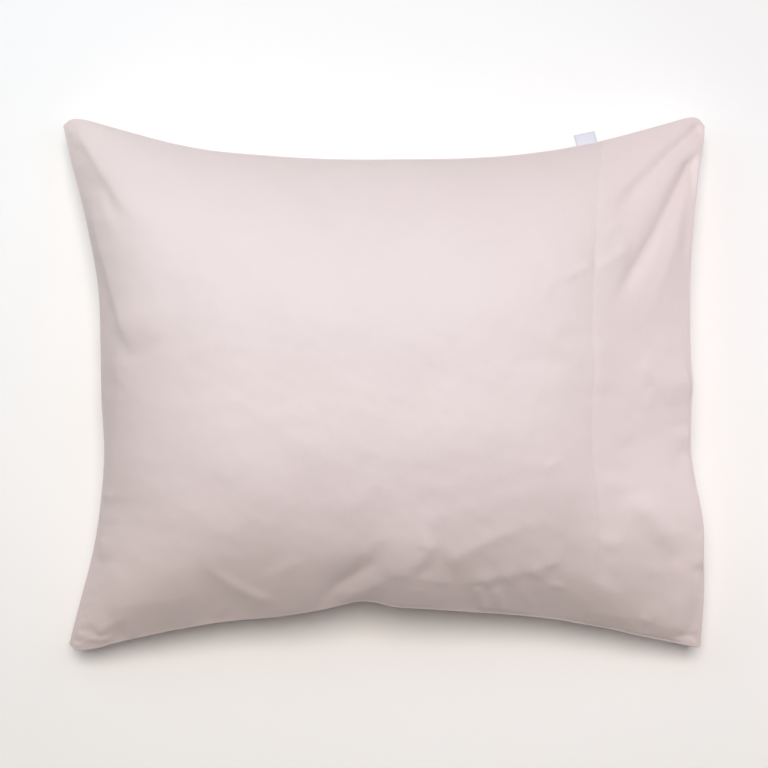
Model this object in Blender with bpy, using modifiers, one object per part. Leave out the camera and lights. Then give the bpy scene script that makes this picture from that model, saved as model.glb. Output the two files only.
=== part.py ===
"""A filled pillowcase lying on its back, and the small tape label sewn into its side seam.

The case is one folded length of cotton sateen, closed at the left end, sewn along both sides and
hemmed at the right end, where it is open. It is shown full, so it is one solid with its crown,
its drawn-in sides and a mouth pocket between two hem lips.

Metres, +Z up. X runs from the closed end to the mouth, Y from the lower side seam to the seam
that holds the label, and Z = 0 is the surface that the case lies on. The origin is on that
surface, under the middle of the case's outline. The short tables give millimetres.
"""

import math
from collections import namedtuple

import bmesh
import bpy
from mathutils import Vector

MM = 0.001

# The case: sizes as sewn and flat, and as filled.
FLAT_WIDTH = 0.600
FILLED_WIDTH = 0.595
FILLED_HEIGHT = 0.497
CROWN_HEIGHT = 0.098  # of the front, above the side seams
SEAM_LEVEL = 0.067  # of the side seams, above the surface
CORNER_DROP = 0.030  # how much lower the four corners are
BACK_DEPTH = 0.085  # of the back below the side seams, before it is pressed flat
PRESS_RADIUS = 0.006  # softness of the turn where the back leaves the surface
SEAM_THICKNESS = 0.003
SEAM_ROUND = 0.0008  # how far the middle of a sewn edge stands out
CREASE_ANGLE = math.radians(50)  # beyond which an edge is drawn sharp

# How the fill rounds off towards the edges: fullness is (1 - |t| ** FILL_POWER) ** edge.
FILL_POWER = 2.4
SEWN_EDGE = 0.55
MOUTH_EDGE = 0.95

# The mouth, at the right end.
HEM_DEPTH = 0.102
HEM_STITCH_DEPTH = 0.0008
HEM_STITCH_HALF_WIDTH = 0.003
LIP_THICKNESS = 0.0018
MOUTH_GAPE = 0.010
MOUTH_START = 0.72  # where, from the middle to the mouth, the two lips begin to part
BACK_LIP_REACH = 0.002  # how far the back lip stands out past the front lip
BACK_LIP_POWER = 8  # how suddenly that reach ends at the mouth's corners
GAPE_POWER = 2.5
GAPE_TAPER = 0.92  # how much of the gape is gone at the mouth's corners
POCKET_SHALLOW = 0.3  # depth of the pocket at the mouth's corners, as a share of its depth

# The label, a folded tape caught in the seam.
LABEL_WIDTH = 0.019
LABEL_LENGTH = 0.011
LABEL_TAPE = 0.0006
LABEL_GAP = 0.0006
LABEL_ALONG = 0.188  # place of its middle along the seam
LABEL_LEAN = math.radians(3)  # beyond square to the seam
LABEL_CLEARANCE = 0.0003
LABEL_TURN_STEP = 30  # degrees between the points of its fold

# The lattice that the case's surface is made on.
COLUMNS = 48
ROWS = 42
LAYERS = 3
CROWDING = 0.6
BACK, LOWER_LIP, UPPER_LIP, FRONT = range(LAYERS + 1)

PocketStep = namedtuple("PocketStep", "depth height")  # millimetres, share of the gape
POCKET = [
    PocketStep(6, 1.25),
    PocketStep(14, 1.6),
    PocketStep(21, 1.5),
    PocketStep(26, 0.8),
]

# How far each side is drawn in from the rectangle of the filled sizes, along that side.
Draw = namedtuple("Draw", "along inset")
CLOSED_END = [
    Draw(-243, 5.5),
    Draw(-210, 14),
    Draw(-155, 28),
    Draw(-108, 35),
    Draw(-62, 38),
    Draw(-15, 35.5),
    Draw(40, 34.5),
    Draw(90, 32.5),
    Draw(152, 21.5),
    Draw(208, 7.5),
    Draw(241.3, 0),
]
MOUTH_END = [
    Draw(-244, 4.1),
    Draw(-229, 3),
    Draw(-201, 1.4),
    Draw(-160, 1.3),
    Draw(-127, 3.4),
    Draw(-85, 10.6),
    Draw(-62, 13.2),
    Draw(-34, 13.4),
    Draw(-2, 11.6),
    Draw(22, 13.2),
    Draw(87, 14.3),
    Draw(152, 10.6),
    Draw(208, 5),
    Draw(240, 0.4),
]
LABEL_SIDE = [
    Draw(-297.5, 7.2),
    Draw(-291.5, 2.6),
    Draw(-286, 1.6),
    Draw(-277, 2.7),
    Draw(-240, 12.7),
    Draw(-185, 26.5),
    Draw(-115, 35),
    Draw(-31, 39.2),
    Draw(39, 38.8),
    Draw(122, 35),
    Draw(164, 29.5),
    Draw(206, 21),
    Draw(262, 6.2),
    Draw(283, 0.7),
    Draw(291.5, 1.8),
    Draw(297.1, 8.5),
]
PLAIN_SIDE = [
    Draw(-292, 5.5),
    Draw(-286, 0.9),
    Draw(-277, 0.6),
    Draw(-254, 6.2),
    Draw(-226, 12.7),
    Draw(-185, 21.1),
    Draw(-101, 31.5),
    Draw(-59, 37.9),
    Draw(-25, 45.8),
    Draw(-11, 45.2),
    Draw(11, 40.4),
    Draw(80, 36),
    Draw(164, 28.6),
    Draw(206, 21.1),
    Draw(262, 9),
    Draw(293.4, 4.5),
]

# Folds, seen from the front. Each runs from start to end and bows towards its bend; height is a
# ridge's, or a trough's below zero; left and right are its half widths on either hand along it,
# and rise and fall the shares of its length over which it comes and goes.
Fold = namedtuple("Fold", "start bend end height left right rise fall")
FRONT_FOLDS = [
    # closed end, corner by the label's seam
    Fold((-288, 233), (-266, 194), (-236, 148), -7, 10, 9, 0.1, 0.6),
    Fold((-274, 226), (-247, 180), (-203, 120), 4, 14, 12, 0.2, 0.6),
    Fold((-287, 215), (-274, 145), (-247, 56), -7, 7, 9, 0.2, 0.2),
    Fold((-275, 170), (-258, 124), (-240, 58), 4, 9, 7, 0.3, 0.2),
    # mouth end, corner by the label's seam
    Fold((289, 228), (252, 166), (203, 76), -8, 10, 11, 0.1, 0.5),
    Fold((280, 225), (238, 166), (204, 113), 4.5, 10, 11, 0.2, 0.5),
    Fold((285, 236), (243, 194), (180, 138), -4.5, 9, 9, 0.1, 0.5),
    Fold((289, 203), (262, 147), (215, 59), 4.5, 12, 12, 0.2, 0.5),
    Fold((277, 133), (262, 87), (248, 50), -3, 10, 10, 0.4, 0.5),
    # mouth end, middle
    Fold((286, -9), (272, -17), (254, -24), -4, 9, 9, 0.1, 0.6),
    Fold((284, -50), (276, -54), (262, -58), -3, 7, 7, 0.1, 0.6),
    Fold((284, -36), (266, -38), (246, -39), 2.5, 8, 8, 0.1, 0.6),
    # mouth end, corner by the plain seam
    Fold((205, -95), (250, -104), (286, -166), -5, 14, 14, 0.3, 0.3),
    Fold((212, -74), (256, -78), (290, -127), 3.5, 14, 14, 0.3, 0.3),
    Fold((289, -239), (262, -220), (228, -196), -4.5, 9, 9, 0.1, 0.6),
    Fold((292, -222), (268, -196), (240, -170), 3, 11, 11, 0.2, 0.6),
    # plain seam, where the cloth is gathered
    Fold((-159, -168), (-144, -193), (-104, -202), 4.5, 7, 9, 0.3, 0.3),
    Fold((-116, -198), (-92, -183), (-56, -164), -4, 11, 11, 0.2, 0.5),
    Fold((-66, -204), (-36, -178), (6, -150), -10, 12, 10, 0.15, 0.4),
    Fold((-30, -203), (-4, -180), (28, -158), 6, 11, 11, 0.1, 0.5),
    Fold((33, -197), (37, -173), (44, -146), -6, 8, 9, 0.1, 0.5),
    Fold((52, -190), (50, -164), (60, -142), 3.5, 8, 8, 0.2, 0.5),
    Fold((57, -178), (90, -153), (140, -127), -6.5, 9, 14, 0.2, 0.5),
    Fold((62, -186), (113, -172), (164, -164), 4, 10, 10, 0.2, 0.4),
    Fold((78, -200), (127, -189), (172, -165), -5.5, 10, 10, 0.2, 0.4),
    # closed end, corner by the plain seam
    Fold((-281, -240), (-258, -219), (-214, -200), -5, 9, 9, 0.1, 0.6),
    Fold((-284, -226), (-264, -190), (-250, -150), -4, 9, 9, 0.1, 0.6),
]
BACK_FOLDS = [
    Fold((-284, 228), (-258, 198), (-214, 170), -5, 10, 10, 0.1, 0.6),
    Fold((-276, 210), (-262, 170), (-248, 130), -4, 9, 9, 0.1, 0.6),
    Fold((285, 228), (254, 200), (205, 176), -5, 10, 10, 0.1, 0.6),
    Fold((280, 205), (268, 160), (258, 120), -4, 10, 10, 0.1, 0.6),
    Fold((283, -230), (252, -200), (206, -172), -5, 10, 10, 0.1, 0.6),
    Fold((284, -205), (270, -160), (262, -120), -4, 10, 10, 0.1, 0.6),
    Fold((-280, -232), (-250, -205), (-206, -176), -5, 10, 10, 0.1, 0.6),
    Fold((-270, -208), (-262, -168), (-250, -126), -4, 9, 9, 0.1, 0.6),
    Fold((-40, -200), (-30, -182), (-26, -160), -5, 9, 9, 0.1, 0.6),
    Fold((4, -200), (12, -180), (26, -162), -4, 9, 9, 0.1, 0.6),
]
RIM_FADE = 0.009  # a fold dies out over this distance from the edge
FOLD_STEPS = 10

# Broad swells and hollows of the fill under the front.
Swell = namedtuple("Swell", "middle radius height")
SWELLS = [
    Swell((29, 192), (60, 14), -3),
    Swell((-130, 60), (120, 110), 4),
    Swell((90, -70), (140, 60), -3),
    Swell((230, 10), (40, 70), -3),
]

CLOTH_COLOUR = (0.80, 0.66, 0.65, 1.0)
TAPE_COLOUR = (0.86, 0.86, 0.88, 1.0)


def smooth_step(t):
    t = min(1.0, max(0.0, t))
    return t * t * (3 - 2 * t)


def inset_at(side, along):
    """The inset of a side's table at a place along it, on a smooth curve through its rows."""
    rows = [(row.along * MM, row.inset * MM) for row in side]
    after = next((i for i in range(1, len(rows) - 1) if rows[i][0] > along), len(rows) - 1)
    (x0, y0), (x1, y1) = rows[after - 1], rows[after]

    def slope(i):
        low, high = rows[max(i - 1, 0)], rows[min(i + 1, len(rows) - 1)]
        return (high[1] - low[1]) / (high[0] - low[0])

    span = x1 - x0
    t = (along - x0) / span
    rest = 1 - t
    ends = y0 * rest * rest * (1 + 2 * t) + y1 * t * t * (3 - 2 * t)
    bends = slope(after - 1) * t * rest * rest - slope(after) * t * t * rest
    return ends + span * bends


def along_side(side, share):
    first, last = side[0].along * MM, side[-1].along * MM
    return first + (last - first) * share


def closed_end(share):
    y = along_side(CLOSED_END, share)
    return Vector((-FILLED_WIDTH / 2 + inset_at(CLOSED_END, y), y))


def mouth_end(share):
    y = along_side(MOUTH_END, share)
    return Vector((FILLED_WIDTH / 2 - inset_at(MOUTH_END, y), y))


def label_side(share):
    x = along_side(LABEL_SIDE, share)
    return Vector((x, FILLED_HEIGHT / 2 - inset_at(LABEL_SIDE, x)))


def plain_side(share):
    x = along_side(PLAIN_SIDE, share)
    return Vector((x, inset_at(PLAIN_SIDE, x) - FILLED_HEIGHT / 2))


def plan_point(u, v):
    """The place seen from the front: a Coons patch between the four sides. u and v run from -1
    to 1, from the closed end to the mouth and from the plain side to the label's side."""
    s, t = (u + 1) / 2, (v + 1) / 2
    across = closed_end(t).lerp(mouth_end(t), s)
    upright = plain_side(s).lerp(label_side(s), t)
    corners = closed_end(0).lerp(mouth_end(0), s).lerp(closed_end(1).lerp(mouth_end(1), s), t)
    return across + upright - corners


def fullness(t, edge):
    return (1 - abs(t) ** FILL_POWER) ** edge


def fill(u, v):
    """How full the case is at a place, from 0 at its edge to 1 in the middle."""
    edge = SEWN_EDGE + (MOUTH_EDGE - SEWN_EDGE) * smooth_step(u)
    return fullness(u, edge) * fullness(v, SEWN_EDGE)


def seam_height(u, v):
    return SEAM_LEVEL - CORNER_DROP * (u * v) ** 4


def gape(v):
    """Half the distance between the two lips."""
    return MOUTH_GAPE / 2 * (1 - GAPE_TAPER * abs(v) ** GAPE_POWER)


def back_lip_reach(v):
    return BACK_LIP_REACH * (1 - v**BACK_LIP_POWER)


def half_edge(u, v):
    """Half the thickness of the case at its edge: a seam, or towards the mouth two parted lips."""
    parted = smooth_step((u - MOUTH_START) / (1 - MOUTH_START))
    return SEAM_THICKNESS / 2 * (1 - parted) + (gape(v) + LIP_THICKNESS) * parted


def pressed(z):
    """A height after the surface below has pressed the case flat."""
    if z >= PRESS_RADIUS:
        return z
    return max(0.0, z + PRESS_RADIUS) ** 2 / (4 * PRESS_RADIUS)


def graded(count):
    """Stations from -1 to 1 that crowd towards both ends."""
    even = [2 * i / count - 1 for i in range(count + 1)]
    return [(1 - CROWDING) * t + CROWDING * math.sin(math.pi / 2 * t) for t in even]


def hem_columns():
    """Three stations that carry the hem's row of stitches, as one narrow channel."""
    middle = 1 - 2 * HEM_DEPTH / FLAT_WIDTH
    side = 2 * HEM_STITCH_HALF_WIDTH / FLAT_WIDTH
    return [middle - side, middle, middle + side]


def column_stations():
    """The graded stations, without those that crowd the hem's own three."""
    hem = hem_columns()
    margin = 0.5 * (hem[1] - hem[0])
    clear = [u for u in graded(COLUMNS) if not hem[0] - margin < u < hem[2] + margin]
    return sorted(clear + hem)


def bent_line(fold):
    """Points along a fold, which is a quadratic curve that is drawn towards its bend."""
    start, bend, end = (Vector(p) * MM for p in (fold.start, fold.bend, fold.end))
    steps = [i / FOLD_STEPS for i in range(FOLD_STEPS + 1)]
    return [start.lerp(bend, t).lerp(bend.lerp(end, t), t) for t in steps]


def fold_height(fold, line, place):
    """How far a fold lifts the cloth at a place."""
    nearest, share, hand = None, 0.0, 0.0
    for i, (a, b) in enumerate(zip(line, line[1:])):
        run = b - a
        t = min(1.0, max(0.0, (place - a).dot(run) / run.length_squared))
        away = place - a.lerp(b, t)
        if nearest is None or away.length < nearest:
            nearest, share = away.length, (i + t) / FOLD_STEPS
            hand = run.x * away.y - run.y * away.x
    width = (fold.left if hand > 0 else fold.right) * MM
    ends = smooth_step(share / fold.rise) * smooth_step((1 - share) / fold.fall)
    return fold.height * MM * math.exp(-((nearest / width) ** 2)) * ends


def swell_height(swell, place):
    x = (place.x / MM - swell.middle[0]) / swell.radius[0]
    y = (place.y / MM - swell.middle[1]) / swell.radius[1]
    return swell.height * MM * math.exp(-(x * x + y * y))


def edge_distance(u, v, place):
    """About how far a place is from the nearest edge."""
    sides = (plan_point(-1, v), plan_point(1, v), plan_point(u, -1), plan_point(u, 1))
    return min((place - side).length for side in sides)


def lattice_box(columns, rows):
    """A box of unit cells, with the cells of the mouth's pocket pushed out past its right end."""
    bm = bmesh.new()
    bmesh.ops.create_cube(bm, size=1.0)
    counts = (columns, rows, LAYERS)
    for vert in bm.verts:
        vert.co = Vector((vert.co[axis] + 0.5) * counts[axis] for axis in range(3))
    for axis, count in enumerate(counts):
        across = [e for e in bm.edges if abs(e.verts[0].co[axis] - e.verts[1].co[axis]) > 0.5]
        bmesh.ops.subdivide_edges(bm, edges=across, cuts=count - 1, use_grid_fill=True)
    pocket = [face for face in bm.faces if in_mouth(face, columns, rows)]
    for _ in POCKET:
        grown = bmesh.ops.extrude_face_region(bm, geom=pocket)["geom"]
        bmesh.ops.delete(bm, geom=pocket, context="FACES")
        corners = [part for part in grown if isinstance(part, bmesh.types.BMVert)]
        bmesh.ops.translate(bm, verts=corners, vec=(1, 0, 0))
        pocket = [part for part in grown if isinstance(part, bmesh.types.BMFace)]
    return bm


def in_mouth(face, columns, rows):
    centre = face.calc_center_median()
    between_lips = LOWER_LIP < centre.z < UPPER_LIP
    return centre.x > columns - 0.1 and between_lips and 1 < centre.y < rows - 1


def pocket_point(step, v, layer):
    """A point inside the mouth, between the lips."""
    plan = plan_point(1, v)
    rounding = 1 - v**4
    height = gape(v) * (1 + (step.height - 1) * rounding)
    sign = 1 if layer == UPPER_LIP else -1
    x = plan.x - step.depth * MM * (POCKET_SHALLOW + (1 - POCKET_SHALLOW) * rounding)
    return Vector((x, plan.y, seam_height(1, v) + sign * height))


def edge_point(u, v, layer):
    """A point inside the thickness of the edge: a seam's rounded middle, or a lip's inner edge."""
    plan = plan_point(u, v)
    sign = 1 if layer == UPPER_LIP else -1
    if u == 1:
        reach = back_lip_reach(v) if layer == LOWER_LIP else 0
        return Vector((plan.x + reach, plan.y, seam_height(u, v) + sign * gape(v)))
    out = Vector((-SEAM_ROUND if u == -1 else 0, SEAM_ROUND * v if abs(v) == 1 else 0))
    return Vector((*(plan + out), seam_height(u, v) + sign * half_edge(u, v) / 2))


def face_point(u, v, layer):
    """A point of the front or the back, before the folds."""
    plan = plan_point(u, v)
    if layer == FRONT:
        rise = half_edge(u, v) + CROWN_HEIGHT * fill(u, v)
        return Vector((plan.x, plan.y, seam_height(u, v) + rise))
    reach = back_lip_reach(v) if u == 1 else 0
    drop = half_edge(u, v) + BACK_DEPTH * fill(u, v)
    return Vector((plan.x + reach, plan.y, pressed(seam_height(u, v) - drop)))


def relief(u, v, layer, lines):
    """How far the folds, the swells and the hem's stitches move a point along its normal."""
    plan = plan_point(u, v)
    folds = FRONT_FOLDS if layer == FRONT else BACK_FOLDS
    height = sum(fold_height(fold, lines[fold], plan) for fold in folds)
    if layer == FRONT:
        height += sum(swell_height(swell, plan) for swell in SWELLS)
    if u == hem_columns()[1]:
        height -= HEM_STITCH_DEPTH
    return height * smooth_step(edge_distance(u, v, plan) / RIM_FADE)


def new_material(name, colour, roughness, sheen):
    material = bpy.data.materials.new(name)
    material.use_nodes = True
    shader = material.node_tree.nodes["Principled BSDF"]
    shader.inputs["Base Color"].default_value = colour
    shader.inputs["Roughness"].default_value = roughness
    shader.inputs["Metallic"].default_value = 0.0
    shader.inputs["Sheen Weight"].default_value = sheen
    return material


def add_object(name, bm, collection, material):
    bmesh.ops.recalc_face_normals(bm, faces=bm.faces)
    mesh = bpy.data.meshes.new(name)
    bm.to_mesh(mesh)
    bm.free()
    mesh.materials.append(material)
    mesh.shade_smooth()
    mesh.set_sharp_from_angle(angle=CREASE_ANGLE)
    made = bpy.data.objects.new(name, mesh)
    collection.objects.link(made)
    return made


def build_case(collection, material):
    columns, rows = column_stations(), graded(ROWS)
    last = len(columns) - 1
    bm = lattice_box(last, ROWS)
    cells = {vert: tuple(round(x) for x in vert.co) for vert in bm.verts}
    for vert, (i, j, layer) in cells.items():
        if i > last:
            vert.co = pocket_point(POCKET[i - last - 1], rows[j], layer)
        elif layer in (BACK, FRONT):
            vert.co = face_point(columns[i], rows[j], layer)
        else:
            vert.co = edge_point(columns[i], rows[j], layer)

    bm.normal_update()
    lines = {fold: bent_line(fold) for fold in FRONT_FOLDS + BACK_FOLDS}
    moves = {}
    for vert, (i, j, layer) in cells.items():
        inner = 0 < i < last and 0 < j < ROWS
        if inner and layer in (BACK, FRONT) and vert.co.z > 0:
            moves[vert] = vert.normal * relief(columns[i], rows[j], layer, lines)
    for vert, move in moves.items():
        vert.co += move
        vert.co.z = max(0.0, vert.co.z)
    return add_object("case", bm, collection, material)


def build_label(collection, material):
    """The label: one tape folded in half, its two ends at the seam and its fold standing out."""
    radius = (LABEL_TAPE + LABEL_GAP) / 2
    straight = LABEL_LENGTH - radius - LABEL_TAPE / 2
    turn = [math.radians(angle) for angle in range(90, -91, -LABEL_TURN_STEP)]
    profile = [(0.0, radius)]
    profile += [(straight + radius * math.cos(a), radius * math.sin(a)) for a in turn]
    profile += [(0.0, -radius)]
    bm = bmesh.new()
    row = [bm.verts.new((-LABEL_WIDTH / 2, y, z)) for y, z in profile]
    edges = [bm.edges.new(pair) for pair in zip(row, row[1:])]
    grown = bmesh.ops.extrude_edge_only(bm, edges=edges)["geom"]
    ends = [part for part in grown if isinstance(part, bmesh.types.BMVert)]
    bmesh.ops.translate(bm, verts=ends, vec=(LABEL_WIDTH, 0, 0))
    label = add_object("label", bm, collection, material)
    tape = label.modifiers.new("tape", "SOLIDIFY")
    tape.thickness = LABEL_TAPE
    tape.offset = 0.0

    first, last = LABEL_SIDE[0].along * MM, LABEL_SIDE[-1].along * MM
    share = (LABEL_ALONG - first) / (last - first)
    before, root, after = (label_side(share + step) for step in (-0.01, 0.0, 0.01))
    along = (after - before).normalized()
    out = Vector((-along.y, along.x))
    slant = LABEL_WIDTH / 2 * math.sin(LABEL_LEAN)
    root += out * (SEAM_ROUND + LABEL_CLEARANCE + slant)
    level = seam_height(2 * share - 1, 1)
    label.location = (root.x, root.y, level)
    label.rotation_euler.z = math.atan2(along.y, along.x) + LABEL_LEAN
    return label


def centre_over_origin(case, followers):
    """Moves the case so that the middle of its outline is over the origin, and the rest with it."""
    points = [vert.co for vert in case.data.vertices]
    low = Vector(min(p[axis] for p in points) for axis in range(2))
    high = Vector(max(p[axis] for p in points) for axis in range(2))
    shift = -(low + high).to_3d() / 2
    for made in (case, *followers):
        made.location += shift


def main():
    for old in list(bpy.data.objects):
        bpy.data.objects.remove(old)
    collection = bpy.data.collections.new("pillowcase")
    bpy.context.scene.collection.children.link(collection)
    sateen = new_material("cotton_sateen", CLOTH_COLOUR, 0.62, 0.25)
    tape = new_material("woven_tape", TAPE_COLOUR, 0.7, 0.1)
    case = build_case(collection, sateen)
    label = build_label(collection, tape)
    centre_over_origin(case, [label])


main()
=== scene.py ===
"""A filled cotton sateen pillowcase that lies on its back, seen from straight above.

The cover is one closed skin: a front and a back, joined by a sewn rim along three sides and
parted into two hem lips at the fourth. Its folds, its hem and the puckers at its seams are placed
from listed tables. A coarse copy of it settles under a light pressure, and the cover takes part of
its moves.

Metres, +Z up. X runs from the closed end to the mouth and Y towards the seam with the label.
Tables are in millimetres, as their places look from the camera on the plane of the seams.
"""

import math
from collections import namedtuple

import bpy
import numpy as np
from bpy.props import FloatProperty, FloatVectorProperty, PointerProperty
from bpy.types import Operator, Panel, PropertyGroup
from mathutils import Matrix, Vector


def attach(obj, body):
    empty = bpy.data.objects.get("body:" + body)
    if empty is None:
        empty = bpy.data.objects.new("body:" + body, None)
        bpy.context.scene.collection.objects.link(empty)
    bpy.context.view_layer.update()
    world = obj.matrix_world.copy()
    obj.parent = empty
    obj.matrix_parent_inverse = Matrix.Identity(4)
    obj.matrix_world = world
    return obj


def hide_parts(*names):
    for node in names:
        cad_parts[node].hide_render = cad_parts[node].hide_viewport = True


bl_info = {
    "name": "Filled pillowcase",
    "version": (1, 0, 0),
    "blender": (4, 5, 0),
    "location": "3D View > Sidebar > Pillowcase",
    "description": "Builds a filled cotton pillowcase with its hem, stitches and label",
    "category": "Add Mesh",
}

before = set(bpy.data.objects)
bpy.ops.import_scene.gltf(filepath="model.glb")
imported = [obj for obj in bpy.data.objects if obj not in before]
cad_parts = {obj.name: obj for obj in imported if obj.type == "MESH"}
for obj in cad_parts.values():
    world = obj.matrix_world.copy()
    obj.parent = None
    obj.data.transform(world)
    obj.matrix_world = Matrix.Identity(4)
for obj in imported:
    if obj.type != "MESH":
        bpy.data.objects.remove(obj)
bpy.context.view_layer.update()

MM = 0.001
FILLED_WIDTH = 0.595
FILLED_HEIGHT = 0.497
FLAT_WIDTH = 0.600
FLAT_HEIGHT = 0.500

# How far each side is drawn in from the rectangle of the filled sizes, along that side.
Draw = namedtuple("Draw", "along inset")
CLOSED_END = [
    Draw(-243, 5.5), Draw(-210, 14), Draw(-155, 28), Draw(-108, 35), Draw(-62, 38),
    Draw(-15, 35.5), Draw(40, 34.5), Draw(90, 32.5), Draw(152, 21.5), Draw(208, 7.5),
    Draw(241.3, 0),
]
MOUTH_END = [
    Draw(-244, 4.1), Draw(-229, 3.2), Draw(-201, 1.3), Draw(-160, 1.3), Draw(-127, 3.2),
    Draw(-99, 7.8), Draw(-85, 10.6), Draw(-62, 13.4), Draw(-34, 13.4), Draw(-15, 12.5),
    Draw(-2, 11.5), Draw(22, 13.4), Draw(50, 14.3), Draw(87, 14.3), Draw(115, 13.4),
    Draw(152, 10.6), Draw(180, 7.8), Draw(208, 5), Draw(226, 1.3), Draw(240, 0.4),
]
LABEL_SIDE = [
    Draw(-297.5, 7.2), Draw(-291.6, 2.5), Draw(-286, 1.6), Draw(-277.6, 2.5), Draw(-263.7, 6.2),
    Draw(-240.4, 12.7), Draw(-212.5, 20.2), Draw(-184.6, 26.7), Draw(-156.7, 31.3),
    Draw(-115, 35), Draw(-73, 37.9), Draw(-31, 39.2), Draw(39, 38.8), Draw(80, 37.9),
    Draw(122, 35), Draw(164, 29.5), Draw(206, 21), Draw(234, 13.7), Draw(262, 6.2),
    Draw(283, 0.7), Draw(291.6, 1.6), Draw(297.1, 8),
]
PLAIN_SIDE = [
    Draw(-292, 5.5), Draw(-286, 0.7), Draw(-277.6, 0.7), Draw(-266, 2.5), Draw(-254, 6.2),
    Draw(-226, 12.7), Draw(-184.6, 21.1), Draw(-143, 27.6), Draw(-101, 31.3), Draw(-59, 37.9),
    Draw(-36, 43.4), Draw(-24.6, 45.8), Draw(-10.7, 45.3), Draw(10.7, 40.6), Draw(39, 38.8),
    Draw(80, 36), Draw(122, 33.2), Draw(164, 28.6), Draw(178, 25.8), Draw(206, 21.1),
    Draw(234, 14.6), Draw(262, 9), Draw(291.6, 3.4), Draw(293.4, 4.5),
]

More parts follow.
